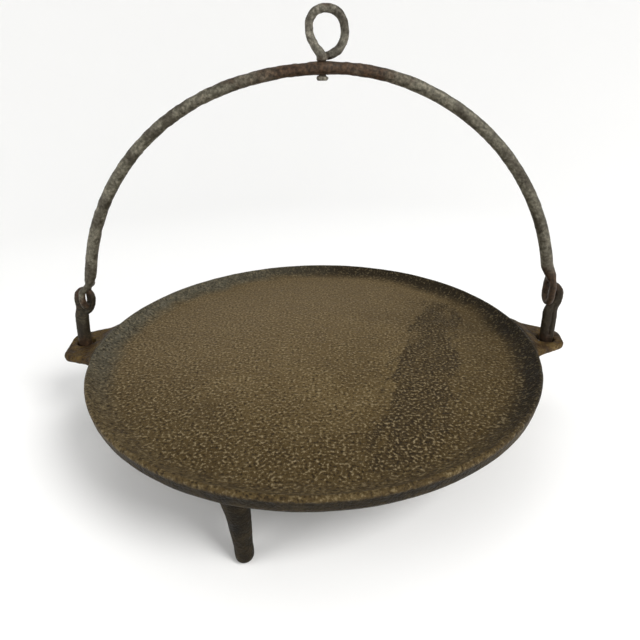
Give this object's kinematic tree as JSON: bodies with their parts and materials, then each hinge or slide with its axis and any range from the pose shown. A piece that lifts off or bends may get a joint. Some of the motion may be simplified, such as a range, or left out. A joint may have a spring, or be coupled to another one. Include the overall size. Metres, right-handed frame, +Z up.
{
  "type": "hanging griddle",
  "caption": "Round cast iron hearth griddle with a shallow rim, side lugs and stub feet, hung by a forged swing bail with hanger links and a swivel ring.",
  "frame": {"origin": "on the floor, under the middle of the round pan", "axes": "+Z up, +X from the left lug to the right lug, -Y towards the front foot"},
  "size_m": [0.4114, 0.35, 0.299],
  "materials": {
    "cast_iron": "old sand casting, pebbly brown seasoning",
    "forged_link": "hammered wrought iron, dark scale with brown rust",
    "forged_bail": "hammered wrought iron, grey scale, brown rust at the crown and ends",
    "forged_ring": "hammered wrought iron, dark grey, rubbed on the outside"
  },
  "bodies": {
    "griddle": {"griddle_pan": "cast_iron", "foot_front": "cast_iron", "foot_right": "cast_iron", "foot_back": "cast_iron"},
    "link_left": {"hanger_link_left": "forged_link"},
    "link_right": {"hanger_link_right": "forged_link"},
    "bail": {"bail": "forged_bail"},
    "ring": {"swivel_ring": "forged_ring"}
  },
  "joints": [
    {"name": "link_left_swing", "type": "hinge", "parent": "griddle", "child": "link_left", "pos_m": [-0.19, 0, 0.061], "axis": [1, 0, 0], "range_deg": [-10, 10]},
    {"name": "link_right_swing", "type": "hinge", "parent": "griddle", "child": "link_right", "pos_m": [0.19, 0, 0.061], "axis": [1, 0, 0], "range_deg": [-10, 10]},
    {"name": "bail_swing", "type": "hinge", "parent": "link_left", "child": "bail", "pos_m": [-0.1803, 0, 0.1107], "axis": [1, 0, 0], "range_deg": [-85, 85]},
    {"name": "ring_swivel", "type": "hinge", "parent": "bail", "child": "ring", "pos_m": [0.01, 0, 0.2677], "axis": [0, 0, 1], "continuous": true}
  ],
  "couplings": [
    {"joint": "link_right_swing", "follows": "link_left_swing", "ratio": 1}
  ]
}
